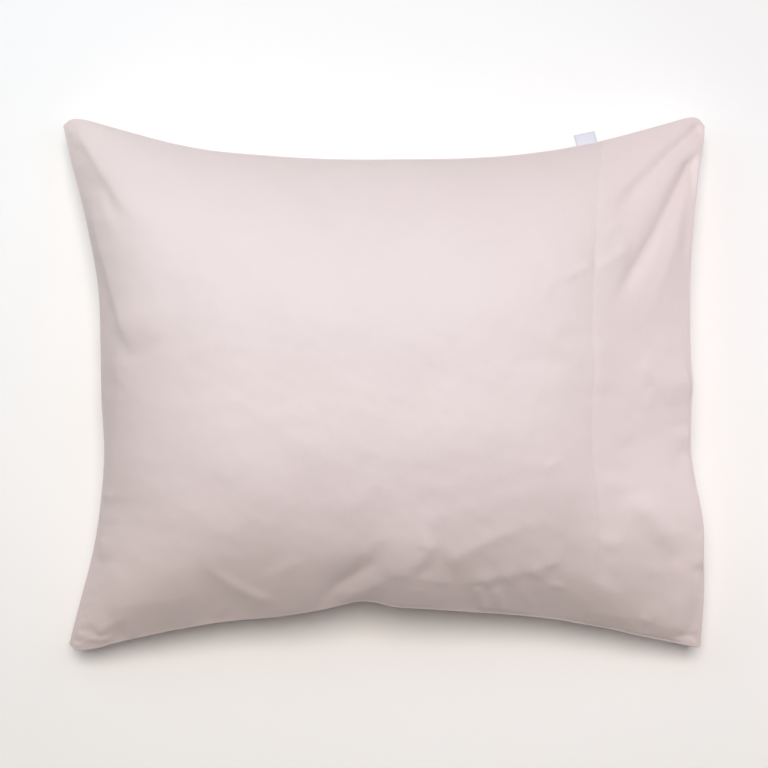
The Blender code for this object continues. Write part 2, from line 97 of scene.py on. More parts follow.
# Folds, as seen. Each runs from start to end and bows towards its bend. Height is a ridge's, or
# below zero a trough's; left and right are its half widths on either hand; rise and fall are the
# shares of its length over which it comes and goes; edge is 2 for a soft fold and less for a
# crease; flare is its width at the end over that at the start.
FOLD_COLUMNS = "start bend end height left right rise fall edge flare"
Fold = namedtuple("Fold", FOLD_COLUMNS, defaults=(2, 1))
FRONT_FOLDS = [
    # closed end, corner by the label's seam
    Fold((-287, 241), (-263, 192), (-214, 137), 2.9, 12, 6, 0.15, 0.4, 1.7, 2),
    Fold((-266, 186), (-256, 159), (-240, 133), 1.1, 4.5, 6, 0.35, 0.35, 1.8, 1.5),
    Fold((-273, 186), (-253, 108), (-229, 25), 6.5, 40, 7, 0.25, 0.22, 1.5),
    Fold((-292, 239), (-288, 226), (-280, 217), 0.8, 4, 3, 0.3, 0.3),
    # closed end, middle
    Fold((-243, 74), (-242, -20), (-254, -120), 4.2, 32, 9, 0.25, 0.3, 1.8),
    Fold((-260, -106), (-255, -104), (-247, -108), 0.9, 4, 6, 0.1, 0.5, 1.5),
    Fold((-262, -128), (-256, -125), (-248, -130), 0.4, 4, 5, 0.1, 0.5, 1.5),
    Fold((-264, -140), (-259, -152), (-263, -168), 1, 6, 3, 0.3, 0.3, 1.6),
    # mouth end, corner by the label's seam
    Fold((297, 243), (249, 204), (205, 145), -5.2, 11, 7, 0.06, 0.35, 2, 1.8),
    Fold((293, 219), (259, 150), (209, 62), -7, 13, 9, 0.12, 0.28, 1.8, 1.5),
    Fold((287, 205), (263, 98), (236, 46), 1.8, 6, 11, 0.35, 0.4, 1.8, 1.6),
    Fold((283, 171), (280, 131), (275, 82), -0.8, 5, 5, 0.3, 0.4),
    Fold((283, 124), (278, 126), (271, 128), -0.7, 4, 4, 0.1, 0.6),
    Fold((196, 105), (214, 117), (231, 130), 1.6, 5, 5, 0.25, 0.3, 1.8),
    Fold((160, 95), (180, 104), (196, 113), 1.4, 4.5, 5, 0.4, 0.2),
    Fold((203, 137), (211, 144), (221, 148), 1, 4, 4, 0.3, 0.3),
    Fold((175, 150), (185, 156), (194, 158), 0.7, 4, 4, 0.3, 0.3),
    # mouth end, middle
    Fold((250, 34), (241, 14), (243, -10), 1.5, 12, 6, 0.35, 0.5),
    Fold((202, 50), (203, 20), (201, -14), 1.2, 8, 7, 0.3, 0.3),
    Fold((252, -7), (260, -2), (285, 2), 2.4, 14, 14, 0.25, 0.05, 1.8),
    Fold((252, -2), (247, -14), (241, -30), 0.9, 5, 6, 0.3, 0.4),
    Fold((285, -38), (276, -36), (259, -41), -0.9, 5, 5, 0.05, 0.5),
    Fold((285, -47), (278, -47), (266, -51), 1.2, 7, 4, 0.05, 0.5, 1.8),
    Fold((285, -65), (277, -65), (267, -68), -1, 6, 6, 0.05, 0.5),
    Fold((229, -38), (224, -46), (222, -58), 0.7, 5, 6, 0.3, 0.4),
    Fold((193, -90), (211, -95), (240, -97), 1.4, 10, 8, 0.5, 0.4, 1.8),
    Fold((216, -98), (245, -114), (271, -160), 4.4, 13, 11, 0.45, 0.35),
    Fold((292, -135), (286, -136), (276, -134), -0.6, 5, 5, 0.05, 0.6),
    # mouth end, corner by the plain seam
    Fold((293, -156), (287, -156), (279, -155), -0.6, 4, 4, 0.05, 0.6),
    Fold((294, -171), (289, -172), (272, -176), -1.6, 14, 5, 0.05, 0.6),
    Fold((192, -148), (208, -142), (228, -149), 1, 7, 8, 0.5, 0.5),
    Fold((235, -170), (248, -169), (261, -172), 0.5, 7, 7, 0.3, 0.4),
    Fold((270, -192), (269, -203), (265, -214), 0.5, 6, 5, 0.3, 0.4),
    Fold((184, -176), (202, -182), (226, -198), 1.1, 6, 10, 0.5, 0.4),
    Fold((235, -211), (241, -214), (247, -219), 0.8, 4, 4, 0.3, 0.3),
    Fold((158, -199), (226, -208), (288, -225), 6, 90, 15, 0.4, 0.15),
    Fold((292, -235), (279, -235), (264, -232), -0.8, 3, 4, 0.1, 0.5),
    # label's seam, middle
    Fold((-25, 203), (20, 204), (62, 203), 0.9, 16, 7, 0.4, 0.4),
    # plain seam, where the cloth is gathered
    Fold((-170, -161), (-141, -196), (-91, -203), 2.1, 4.5, 8, 0.45, 0.3, 1.8),
    Fold((-116, -182), (-93, -175), (-69, -158), 1.1, 6, 11, 0.35, 0.35, 1.8),
    Fold((-70, -207), (-31, -181), (7, -155), -3.5, 14, 6.5, 0.4, 0.4, 1.8),
    Fold((-42, -201), (-18, -191), (6, -177), 2.6, 7, 9, 0.3, 0.25, 1.6, 1.3),
    Fold((-4, -181), (12, -171), (36, -177), 1.8, 18, 7, 0.35, 0.35, 1.7),
    Fold((32, -176), (34, -149), (54, -148), 2, 6, 8, 0.3, 0.35, 1.7),
    Fold((37, -154), (37, -144), (38, -132), 1.3, 4, 4, 0.2, 0.6),
    Fold((28, -180), (42, -181), (66, -185), 1.1, 6, 4.5, 0.3, 0.3, 1.8),
    Fold((54, -168), (84, -149), (147, -126), 2.6, 8, 11, 0.2, 0.5, 1.6, 0.6),
    Fold((62, -186), (120, -178), (172, -160), 1.5, 9, 5, 0.2, 0.25, 1.7),
    Fold((84, -180), (95, -182), (104, -189), 1.6, 9, 5, 0.35, 0.35, 1.8),
    Fold((104, -180), (115, -179), (126, -181), 1.2, 12, 5.5, 0.35, 0.35, 1.8),
    Fold((132, -173), (142, -174), (150, -180), 1.6, 10, 4.5, 0.35, 0.35, 1.8),
    Fold((147, -166), (157, -163), (168, -163), 0.7, 12, 4.5, 0.3, 0.3, 1.8),
    Fold((86, -186), (88, -198), (96, -212), 2, 3.5, 3.5, 0.2, 0.2),
    Fold((102, -188), (107, -199), (114, -212), 1.6, 4, 4, 0.25, 0.2),
    Fold((127, -186), (134, -198), (139, -209), 1, 4, 4, 0.3, 0.3),
    Fold((152, -186), (160, -183), (169, -190), 1, 3.5, 3.5, 0.3, 0.3),
    Fold((146, -82), (154, -77), (166, -66), 0.6, 3, 3, 0.3, 0.3),
    Fold((118, -106), (128, -103), (146, -88), 0.5, 5, 5, 0.3, 0.3),
    # closed end, corner by the plain seam
    Fold((-262, -210), (-215, -199), (-157, -191), 3.4, 45, 15, 0.25, 0.3, 1.4),
    Fold((-268, -233), (-255, -221), (-232, -212), 1.4, 9, 5, 0.2, 0.3, 1.5),
    Fold((-279, -236), (-265, -238), (-253, -236), 1, 2.5, 3, 0.3, 0.3),
]
BACK_FOLDS = [
    Fold((-284, 228), (-258, 198), (-214, 170), -5, 10, 10, 0.1, 0.6),
    Fold((-276, 210), (-262, 170), (-248, 130), -4, 9, 9, 0.1, 0.6),
    Fold((285, 228), (254, 200), (205, 176), -5, 10, 10, 0.1, 0.6),
    Fold((280, 205), (268, 160), (258, 120), -4, 10, 10, 0.1, 0.6),
    Fold((283, -230), (252, -200), (206, -172), -5, 10, 10, 0.1, 0.6),
    Fold((284, -205), (270, -160), (262, -120), -4, 10, 10, 0.1, 0.6),
    Fold((-280, -232), (-250, -205), (-206, -176), -5, 10, 10, 0.1, 0.6),
    Fold((-270, -208), (-262, -168), (-250, -126), -4, 9, 9, 0.1, 0.6),
    Fold((-40, -200), (-30, -182), (-26, -160), -5, 9, 9, 0.1, 0.6),
    Fold((4, -200), (12, -180), (26, -162), -4, 9, 9, 0.1, 0.6),
]

# Broad swells and hollows of the fill under the front.
Swell = namedtuple("Swell", "middle radius height")
SWELLS = [
    Swell((8, -158), (48, 26), 3.5),
    Swell((265, -124), (50, 60), 6),
    Swell((165, -185), (60, 28), 2.5),
    Swell((-238, 80), (36, 90), 3),
]

PocketStep = namedtuple("PocketStep", "depth height")  # millimetres, share of the gape
POCKET = [
    PocketStep(0.9, 1.0),
    PocketStep(3, 1.1),
    PocketStep(7, 1.3),
    PocketStep(13, 1.55),
    PocketStep(19, 1.55),
    PocketStep(24, 1.1),
    PocketStep(26, 0.5),
]


def metres(name, description, default, low, high):
    """A length that a user can change, between the lowest and the highest that make sense."""
    text = {"name": name, "description": description}
    return FloatProperty(**text, default=default, min=low, max=high, unit="LENGTH")


def tint(name, description, default):
    """A colour that a user can change."""
    text = {"name": name, "description": description}
    return FloatVectorProperty(**text, default=default, min=0.0, max=1.0, subtype="COLOR")


class PillowcaseSizes(PropertyGroup):
    """The sizes of the filled case that a maker would change."""

    crown: metres("Crown", "Height of the front's middle above the side seams", 0.098, 0.02, 0.2)
    seam_level: metres(
        "Seam level", "Height of the side seams above the surface", 0.067, 0.02, 0.12
    )
    corner_drop: metres(
        "Corner drop", "How much lower than the seams the four corners hang", 0.030, 0.0, 0.06
    )
    back_depth: metres(
        "Back depth", "Depth of the back below the seams, before it is pressed flat",
        0.085, 0.02, 0.15,
    )
    gape: metres(
        "Mouth gape", "Gap between the two hem lips, in their middle", 0.010, 0.001, 0.03
    )
    hem_depth: metres(
        "Hem depth", "Distance from the mouth to the hem's row of stitches", 0.1035, 0.02, 0.15
    )
    stitch_pitch: metres(
        "Stitch pitch", "Length of one stitch of the hem, with its gap", 0.0026, 0.0015, 0.006
    )
    label_width: metres(
        "Label width", "Width of the label's tape, along the seam", 0.019, 0.008, 0.04
    )
    label_length: metres(
        "Label length", "How far the folded label stands out of the seam", 0.011, 0.005, 0.04
    )


class PillowcaseColours(PropertyGroup):
    """The colours of the cloth, the thread, the tape and the floor."""

    cloth: tint("Cloth", "Colour of the cotton sateen", (0.80, 0.69, 0.68))
    thread: tint("Thread", "Colour of the sewing thread in the hem", (0.78, 0.64, 0.63))
    tape: tint("Tape", "Colour of the label's woven tape", (0.72, 0.72, 0.80))
    floor: tint("Floor", "Colour of the floor under the pillowcase", (0.95, 0.95, 0.95))


# ---------------------------------------------------------------------------------------------
# The form of the case


# Fullness is (1 - |t| ** power) ** edge, with t from 0 in the middle to 1 at the edge.
CLOSED_POWER = 4.5
CLOSED_EDGE = 0.78
MOUTH_POWER = 2.6
MOUTH_EDGE = 0.97
WIDTH_POWER = 3.0
LABEL_EDGE = 0.70
PLAIN_EDGE = 1.0
BACK_POWER = 2.4
BACK_EDGE = 0.55
CORNER_POWER = 4  # the higher, the nearer to the corners they begin to hang
PINCH_LIFT = 0.019  # how much higher the plain seam is drawn where the cloth is gathered
PINCH_HALF_WIDTH = 0.10
PINCH_START = 0.35  # how far from the middle to the plain side the pinch begins
PINCH_RUN = 0.6  # and over how much more of the way it grows to its full lift
PRESS_RADIUS = 0.006  # softness of the turn where the back leaves the surface
SEAM_THICKNESS = 0.003
SEAM_ROUND = 0.0008  # how far the middle of a sewn edge stands out
LIP_THICKNESS = 0.0018
MOUTH_START = 0.72  # where, from the middle to the mouth, the two lips begin to part
BACK_LIP_REACH = 0.002  # how far the back's lip stands out past the front's
BACK_LIP_POWER = 8
GAPE_POWER = 2.5
GAPE_TAPER = 0.92  # how much of the gape is gone at the mouth's corners
POCKET_SHALLOW = 0.3  # share of the pocket's depth that is left there
RIM_BULGE = 0.0012  # how far the front stands out beyond the seam, as seen
RIM_FADE = 0.004  # a fold dies out over this distance from the edge
CAMERA_DISTANCE = 2.4  # above the plane of the seams

HEM_LEAN = 0.0059  # how much deeper the hem is at the plain side, and shallower at the label's
HEM_SWAG = 0.003  # how much deeper it is in the middle of the mouth
HEM_GROOVE_DEPTH = 0.0002
HEM_GROOVE_WIDTH = 0.003
HEM_RISE = 0.0002  # the hem's extra layers of cloth
HEM_STEP = 0.006  # the width over which they rise
HEM_FADE = 0.003  # the groove and the step die out over this distance from the edge
HEM_DRAW = 0.0035  # how far the skin's columns are drawn in towards the hem's line
HEM_DRAW_NEAR = 0.004  # from this far off it they are drawn in fully
HEM_DRAW_FAR = 0.02  # and beyond this less and less

STITCH_SHARE = 0.8  # of its pitch that a stitch's thread shows
STITCH_RADIUS = 0.0002
STITCH_BLUNT = 1.02  # just over 1, so that a stitch's ends keep a little width
STITCH_STAND = 0.5  # how far its middle stands off the cloth, in radii
STITCH_DIP = 1.3  # and how much lower its ends are
STITCH_STEPS = 5  # rings along a stitch
STITCH_SIDES = 6

# The label, as seen from above: where it leaves the seam, how far its far end is set to the side,
# and how far that end hangs.
LABEL_MIDDLE = 0.1893
LABEL_SET = -0.0027
LABEL_DROOP = 0.0010
LABEL_ROOT = 0.004  # how far the tape reaches into the seam
TAPE_THICKNESS = 0.00045
TAPE_GAP = 0.0006  # between the middles of its two layers, at the seam
TAPE_LOOP = 0.0008  # radius of the fold at the far end
TAPE_WAVE = 0.0002  # how far its far end curls up and down along the seam
TAPE_WAVE_TURN = 9  # radians from one side of the tape to the other
TAPE_WAVE_PHASE = 1.1
TAPE_RUN_POINTS = 16
TAPE_LOOP_POINTS = 11
TAPE_WIDTH_POINTS = 13

RIM_LAYERS = 6  # points round the thickness of an edge, between the front and the back
LIP_TURNS = (60, 0, -60)  # degrees, where the three points of a lip's round edge lie


def smooth_step(t):
    t = np.clip(t, 0.0, 1.0)
    return t * t * (3 - 2 * t)


def side_inset(rows, along):
    """How far a side is drawn in, on a smooth curve through its rows."""
    x, y = (np.array(column, float) * MM for column in zip(*rows))
    slope = np.empty_like(y)
    slope[1:-1] = (y[2:] - y[:-2]) / (x[2:] - x[:-2])
    slope[0] = (y[1] - y[0]) / (x[1] - x[0])
    slope[-1] = (y[-1] - y[-2]) / (x[-1] - x[-2])
    i = np.clip(np.searchsorted(x, along, side="right") - 1, 0, len(x) - 2)
    span = x[i + 1] - x[i]
    t = (along - x[i]) / span
    rest = 1 - t
    ends = y[i] * rest**2 * (1 + 2 * t) + y[i + 1] * t**2 * (3 - 2 * t)
    return ends + span * (slope[i] * t * rest**2 - slope[i + 1] * t**2 * rest)


def drawn_in(rows, along):
    return side_inset(rows, along) + RIM_BULGE


def along_side(rows, share):
    first, last = rows[0].along * MM, rows[-1].along * MM
    return first + (last - first) * share


def closed_end(share):
    y = along_side(CLOSED_END, share)
    return np.stack([drawn_in(CLOSED_END, y) - FILLED_WIDTH / 2, y], axis=-1)


def mouth_end(share):
    y = along_side(MOUTH_END, share)
    return np.stack([FILLED_WIDTH / 2 - drawn_in(MOUTH_END, y), y], axis=-1)


def label_side(share):
    x = along_side(LABEL_SIDE, share)
    return np.stack([x, FILLED_HEIGHT / 2 - drawn_in(LABEL_SIDE, x)], axis=-1)


def plain_side(share):
    x = along_side(PLAIN_SIDE, share)
    return np.stack([x, drawn_in(PLAIN_SIDE, x) - FILLED_HEIGHT / 2], axis=-1)


def mix(a, b, t):
    return a + (b - a) * t


class Form:
    """The smooth form of the case at stations u (closed end to mouth) and v (plain side to label
    side), both from -1 to 1, as arrays that broadcast against each other."""

    def __init__(self, sizes, u, v):
        self.sizes = sizes
        self.u, self.v = np.broadcast_arrays(np.asarray(u, float), np.asarray(v, float))
        drop = sizes.corner_drop * np.abs(self.u * self.v) ** CORNER_POWER
        self.level = sizes.seam_level - drop + self.pinch_lift()
        self.plan = self.seen_plan(self.u, self.v) * self.true_scale(self.level)[..., None]
        self.half_gape = sizes.gape / 2 * (1 - GAPE_TAPER * np.abs(self.v) ** GAPE_POWER)
        self.parted = smooth_step((self.u - MOUTH_START) / (1 - MOUTH_START))
        self.half_edge = mix(SEAM_THICKNESS / 2, self.half_gape + LIP_THICKNESS, self.parted)
        self.back_reach = BACK_LIP_REACH * (1 - np.abs(self.v) ** BACK_LIP_POWER) * (self.u == 1)

    def pinch_lift(self):
        along = self.u * FLAT_WIDTH / 2 / PINCH_HALF_WIDTH
        return PINCH_LIFT * np.exp(-(along**2)) * smooth_step((-self.v - PINCH_START) / PINCH_RUN)

    def true_scale(self, z):
        """Real size over seen size at a height: what is nearer the camera looks larger."""
        return 1 - (z - self.sizes.seam_level) / CAMERA_DISTANCE

    @staticmethod
    def seen_plan(u, v):
        """A Coons patch between the four sides, as seen."""
        s, t = ((u + 1) / 2)[..., None], ((v + 1) / 2)[..., None]
        across = mix(closed_end(t[..., 0]), mouth_end(t[..., 0]), s)
        upright = mix(plain_side(s[..., 0]), label_side(s[..., 0]), t)
        low = mix(closed_end(0.0), mouth_end(0.0), s)
        high = mix(closed_end(1.0), mouth_end(1.0), s)
        return across + upright - mix(low, high, t)

    def fill(self):
        """How full the front is, from 0 at its edge to 1 in the middle."""
        towards_mouth = smooth_step(self.u)
        edge = mix(CLOSED_EDGE, MOUTH_EDGE, towards_mouth)
        along = (1 - np.abs(self.u) ** mix(CLOSED_POWER, MOUTH_POWER, towards_mouth)) ** edge
        across = 1 - np.abs(self.v) ** WIDTH_POWER
        return along * across ** mix(PLAIN_EDGE, LABEL_EDGE, smooth_step((self.v + 1) / 2))

    def back_fill(self):
        """How full the back is, before the surface presses it flat."""
        edge = mix(BACK_EDGE, MOUTH_EDGE, smooth_step(self.u))
        along = (1 - np.abs(self.u) ** BACK_POWER) ** edge
        return along * (1 - np.abs(self.v) ** BACK_POWER) ** BACK_EDGE

    def front(self):
        z = self.level + self.half_edge + self.sizes.crown * self.fill()
        return np.concatenate([self.plan, z[..., None]], axis=-1)

    def back(self):
        z = self.level - self.half_edge - self.sizes.back_depth * self.back_fill()
        turning = np.maximum(0, z + PRESS_RADIUS) ** 2 / (4 * PRESS_RADIUS)
        z = np.where(z >= PRESS_RADIUS, z, turning)
        x = self.plan[..., 0] + self.back_reach
        return np.stack([x, self.plan[..., 1], z], axis=-1)

    def seen(self, points):
        """Where points look to be, on the plane of the seams."""
        return points[..., :2] / self.true_scale(points[..., 2])[..., None]

    def edge_distance(self):
        sides = ((-1.0, self.v), (1.0, self.v), (self.u, -1.0), (self.u, 1.0))
        here = self.seen_plan(self.u, self.v)
        away = [here - self.seen_plan(*np.broadcast_arrays(u, v)) for u, v in sides]
        return np.min([np.linalg.norm(a, axis=-1) for a in away], axis=0)


def grid_normals(points, side):
    along, across = np.gradient(points, axis=0), np.gradient(points, axis=1)
    normal = np.cross(along, across) * side
    return normal / np.linalg.norm(normal, axis=-1, keepdims=True)


def graded(count, crowding):
    """Stations from -1 to 1 that crowd towards both ends."""
    even = np.linspace(-1, 1, count)
    return (1 - crowding) * even + crowding * np.sin(np.pi / 2 * even)


FOLD_STEPS = 16  # straight runs that stand for a fold's curve


def fold_relief(seen, folds):
    """How far the folds lift the cloth at the places seen."""
    height = np.zeros(seen.shape[:-1])
    steps = np.linspace(0, 1, FOLD_STEPS + 1)[:, None]
    for fold in folds:
        start, bend, end = (np.array(p) * MM for p in (fold.start, fold.bend, fold.end))
        line = (1 - steps) ** 2 * start + 2 * steps * (1 - steps) * bend + steps**2 * end
        reach = 4 * max(fold.left, fold.right) * MM
        low, high = line.min(0) - reach, line.max(0) + reach
        near = np.all((seen > low) & (seen < high), axis=-1)
        height[near] += one_fold(seen[near], line, fold)
    return height


def one_fold(places, line, fold):
    best = np.full(len(places), np.inf)
    share, hand = np.zeros(len(places)), np.zeros(len(places))
    for i, (a, b) in enumerate(zip(line, line[1:])):
        run = b - a
        t = np.clip((places - a) @ run / (run @ run), 0, 1)
        away = places - a - t[:, None] * run
        distance = np.linalg.norm(away, axis=-1)
        closer = distance < best
        best[closer] = distance[closer]
        share[closer] = ((i + t) / FOLD_STEPS)[closer]
        hand[closer] = (run[0] * away[:, 1] - run[1] * away[:, 0])[closer]
    width = np.where(hand > 0, fold.left, fold.right) * MM
    width *= 2 * mix(1, fold.flare, share) / (1 + fold.flare)
    ends = smooth_step(share / fold.rise) * smooth_step((1 - share) / fold.fall)
    return fold.height * MM * np.exp(-((best / width) ** fold.edge)) * ends


def swell_relief(seen):
    height = np.zeros(seen.shape[:-1])
    for swell in SWELLS:
        offset = (seen / MM - np.array(swell.middle)) / np.array(swell.radius)
        height += swell.height * MM * np.exp(-(offset**2).sum(-1))
    return height


# ---------------------------------------------------------------------------------------------
# The cover's skin


def quads(corners, turn=1):
    """Faces with their corners in four grids of indices, or turned over where turn is -1."""
    return np.stack([corner.ravel() for corner in corners], axis=1)[:, ::turn]


class Skin:
    """Indices and faces of a closed skin over a grid of u and v stations: a front, a back, a rim
    of layers between them, and a pocket that opens between the two lips at the last column."""

    def __init__(self, columns, rows, depths):
        self.columns, self.rows, self.depths = columns, rows, depths
        grid = columns * rows
        self.front = np.arange(grid).reshape(columns, rows)
        self.back = self.front + grid
        i, j = np.meshgrid(np.arange(columns), np.arange(rows), indexing="ij")
        ring = [(i[:, 0], j[:, 0]), (i[-1, 1:], j[-1, 1:])]
        ring += [(i[-2::-1, -1], j[-2::-1, -1]), (i[0, -2:0:-1], j[0, -2:0:-1])]
        self.ring_i = np.concatenate([part[0] for part in ring])
        self.ring_j = np.concatenate([part[1] for part in ring])
        around = len(self.ring_i)
        self.rim = 2 * grid + np.arange(RIM_LAYERS * around).reshape(RIM_LAYERS, around)
        first = 2 * grid + RIM_LAYERS * around
        count = depths * 2 * (rows - 2)
        self.pocket = first + np.arange(count).reshape(depths, 2, rows - 2)
        self.mouth = slice(columns, columns + rows - 2)  # the ring's places along the open mouth
        self.total = first + count

    def faces(self):
        return np.concatenate([*self.panel_faces(), *self.rim_faces(), *self.pocket_faces()])

    def panel_faces(self):
        for grid, turn in ((self.front, 1), (self.back, -1)):
            yield quads((grid[:-1, :-1], grid[1:, :-1], grid[1:, 1:], grid[:-1, 1:]), turn)

    def rim_faces(self):
        here = (self.ring_i, self.ring_j)
        chain = np.concatenate([self.front[here][None], self.rim, self.back[here][None]])
        after = np.roll(chain, -1, axis=1)
        around = np.stack([chain[1:], after[1:], after[:-1], chain[:-1]], axis=-1)
        keep = np.ones(around.shape[:2], bool)
        keep[RIM_LAYERS // 2, self.mouth.start : self.mouth.stop - 1] = False
        yield around[keep]

    def pocket_faces(self):
        lips = self.rim[RIM_LAYERS // 2 - 1 : RIM_LAYERS // 2 + 1, self.mouth]
        steps = np.concatenate([lips[None], self.pocket])
        upper, lower = steps[:, 0], steps[:, 1]
        for wall, turn in ((upper, -1), (lower, 1)):
            yield quads((wall[:-1, :-1], wall[:-1, 1:], wall[1:, 1:], wall[1:, :-1]), turn)
        for j, turn in ((0, 1), (-1, -1)):
            yield quads((lower[:-1, j], lower[1:, j], upper[1:, j], upper[:-1, j]), turn)
        yield quads((lower[-1, :-1], lower[-1, 1:], upper[-1, 1:], upper[-1, :-1]))

    def points(self, form, front, back):
        """All the skin's points, from its two panels' and the form's edge."""
        points = np.empty((self.total, 3))
        points[self.front.ravel()] = front.reshape(-1, 3)
        points[self.back.ravel()] = back.reshape(-1, 3)
        points[self.rim.ravel()] = self.rim_points(form, front, back).reshape(-1, 3)
        points[self.pocket.ravel()] = self.pocket_points(form).reshape(-1, 3)
        return points

    def rim_points(self, form, front, back):
        """The round of a sewn edge, which becomes the rounds of two lips towards the mouth."""
        here = (self.ring_i, self.ring_j)
        top, bottom = front[here], back[here]
        outward = np.roll(top, -1, axis=0) - np.roll(top, 1, axis=0)
        outward = np.stack([outward[:, 1], -outward[:, 0], np.zeros(len(outward))], axis=-1)
        outward /= np.linalg.norm(outward, axis=1, keepdims=True)
        rise = np.array([0.0, 0.0, 1.0])
        parted = form.parted[here][:, None]
        middle, half = (top + bottom) / 2, (top - bottom)[:, 2:] / 2
        made = []
        for layer in range(RIM_LAYERS):
            angle = math.pi / 2 - math.pi * (layer + 1) / (RIM_LAYERS + 1)
            sewn = middle + outward * SEAM_ROUND * math.cos(angle) + rise * half * math.sin(angle)
            upper = layer < RIM_LAYERS // 2
            turn = math.radians(LIP_TURNS[layer % len(LIP_TURNS)])
            radius = LIP_THICKNESS / 2
            start = top if upper else bottom
            centre = start - rise * (radius if upper else -radius)
            lip = centre + outward * radius * math.cos(turn) + rise * radius * math.sin(turn)
            made.append(mix(sewn, lip, parted))
        return np.stack(made)

    def pocket_points(self, form):
        v = form.v[-1, 1:-1]
        level, half_gape, plan = form.level[-1, 1:-1], form.half_gape[-1, 1:-1], form.plan[-1, 1:-1]
        rounding = 1 - np.abs(v) ** CORNER_POWER
        reach = POCKET_SHALLOW + (1 - POCKET_SHALLOW) * rounding
        made = []
        for step in POCKET[: self.depths]:
            height = half_gape * (1 + (step.height - 1) * rounding)
            x = plan[:, 0] - step.depth * MM * reach
            walls = [np.stack([x, plan[:, 1], level + sign * height], axis=-1) for sign in (1, -1)]
            made.append(np.stack(walls))
        return np.stack(made)

    def flat_places(self, u, v):
        """Where each point lies in the flat cloth, in metres, for the weave."""
        flat = np.empty((self.total, 2))
        grid = np.stack(np.broadcast_arrays(u * FLAT_WIDTH / 2, v * FLAT_HEIGHT / 2), axis=-1)
        flat[self.front.ravel()] = grid.reshape(-1, 2)
        flat[self.back.ravel()] = grid.reshape(-1, 2)
        ring = grid[self.ring_i, self.ring_j]
        flat[self.rim.ravel()] = np.broadcast_to(ring, (RIM_LAYERS, *ring.shape)).reshape(-1, 2)
        depths = np.array([step.depth * MM for step in POCKET[: self.depths]])
        inner = np.broadcast_to(grid[-1, 1:-1], (self.depths, 2, self.rows - 2, 2)).copy()
        inner[..., 0] += depths[:, None, None]
        flat[self.pocket.ravel()] = inner.reshape(-1, 2)
        return flat


def mesh_object(name, points, faces, material, flat=None):
    mesh = bpy.data.meshes.new(name)
    mesh.from_pydata(points.tolist(), [], [list(face) for face in faces])
    mesh.materials.append(material)
    if flat is not None:
        layer = mesh.uv_layers.new(name="cloth")
        corners = np.empty(len(mesh.loops), np.int32)
        mesh.loops.foreach_get("vertex_index", corners)
        layer.data.foreach_set("uv", flat[corners].astype(np.float32).ravel())
    mesh.shade_smooth()
    made = bpy.data.objects.new(name, mesh)
    bpy.context.scene.collection.objects.link(made)
    return made


def read_points(mesh):
    points = np.empty(len(mesh.vertices) * 3, np.float32)
    mesh.vertices.foreach_get("co", points)
    return points.reshape(-1, 3).astype(float)


# ---------------------------------------------------------------------------------------------
# How the cloth settles


SETTLE_COLUMNS = 121
SETTLE_ROWS = 101
SETTLE_CROWDING = 0.3
SETTLE_FRAMES = 20
SETTLE_PRESSURE = 4.0
SETTLE_SLACK = 0.003  # how much more cloth there is than the smooth form takes
SETTLE_CAP = 0.008  # the furthest that a point may move
SETTLE_SHARE = 0.5  # of the moves that is kept: the folds stay as crisp as pressed cloth's


def settled_moves(sizes):
    """How far the cloth moves on the front and the back when it takes up its slack under a light
    pressure, at the stations of a coarse grid."""
    u = graded(SETTLE_COLUMNS, SETTLE_CROWDING)[:, None]
    v = graded(SETTLE_ROWS, SETTLE_CROWDING)[None, :]
    form = Form(sizes, u, v)
    skin = Skin(SETTLE_COLUMNS, SETTLE_ROWS, len(POCKET))
    front, back = form.front(), form.back()
    away = smooth_step(form.edge_distance() / RIM_FADE)
    lift = (fold_relief(form.seen(front), FRONT_FOLDS) + swell_relief(form.seen(front))) * away
    front = front + grid_normals(front, 1) * lift[..., None]
    start = skin.points(form, front, back)
    held = np.ones(skin.total, bool)
    held[skin.front[1:-1, 1:-1]] = False
    held[skin.back[1:-1, 1:-1]] = False
    held |= start[:, 2] < PRESS_RADIUS

    moves = settled(skin, start, held) - start
    length = np.linalg.norm(moves, axis=1, keepdims=True)
    moves *= SETTLE_SHARE * np.minimum(1, SETTLE_CAP / np.maximum(length, 1e-9))
    return {
        "u": u.ravel(),
        "v": v.ravel(),
        "front": moves[skin.front],
        "back": moves[skin.back],
    }


def settled(skin, start, held):
    """Where a skin's points come to rest when those that are held stay where they are."""
    cloth = mesh_object("settling", start, skin.faces(), bpy.data.materials.new("settling"))
    group = cloth.vertex_groups.new(name="held")
    group.add([int(i) for i in np.flatnonzero(held)], 1.0, "REPLACE")
    modifier = cloth.modifiers.new("settle", "CLOTH")
    settings = modifier.settings
    settings.quality = 6
    settings.mass = 0.2
    settings.tension_stiffness = 30
    settings.compression_stiffness = 30
    settings.shear_stiffness = 10
    settings.bending_stiffness = 5.0
    settings.use_pressure = True
    settings.uniform_pressure_force = SETTLE_PRESSURE
    settings.shrink_min = -SETTLE_SLACK
    settings.shrink_max = -SETTLE_SLACK
    settings.vertex_group_mass = "held"
    settings.effector_weights.gravity = 0.0
    modifier.collision_settings.use_collision = False
    modifier.point_cache.frame_start = 1
    modifier.point_cache.frame_end = SETTLE_FRAMES
    scene = bpy.context.scene
    for number in range(1, SETTLE_FRAMES + 1):
        scene.frame_set(number)
    evaluated = cloth.evaluated_get(bpy.context.evaluated_depsgraph_get())
    ended = read_points(evaluated.data)
    scene.frame_set(1)
    bpy.data.objects.remove(cloth)
    return ended


def resampled(moves, u_known, v_known, u, v):
    """Moves on a grid read at other stations, by smooth cubics along each axis."""
    columns = np.interp(u.ravel(), u_known, np.arange(len(u_known)))
    rows = np.interp(v.ravel(), v_known, np.arange(len(v_known)))
    return cubic_rows(cubic_rows(moves, columns).swapaxes(0, 1), rows).swapaxes(0, 1)


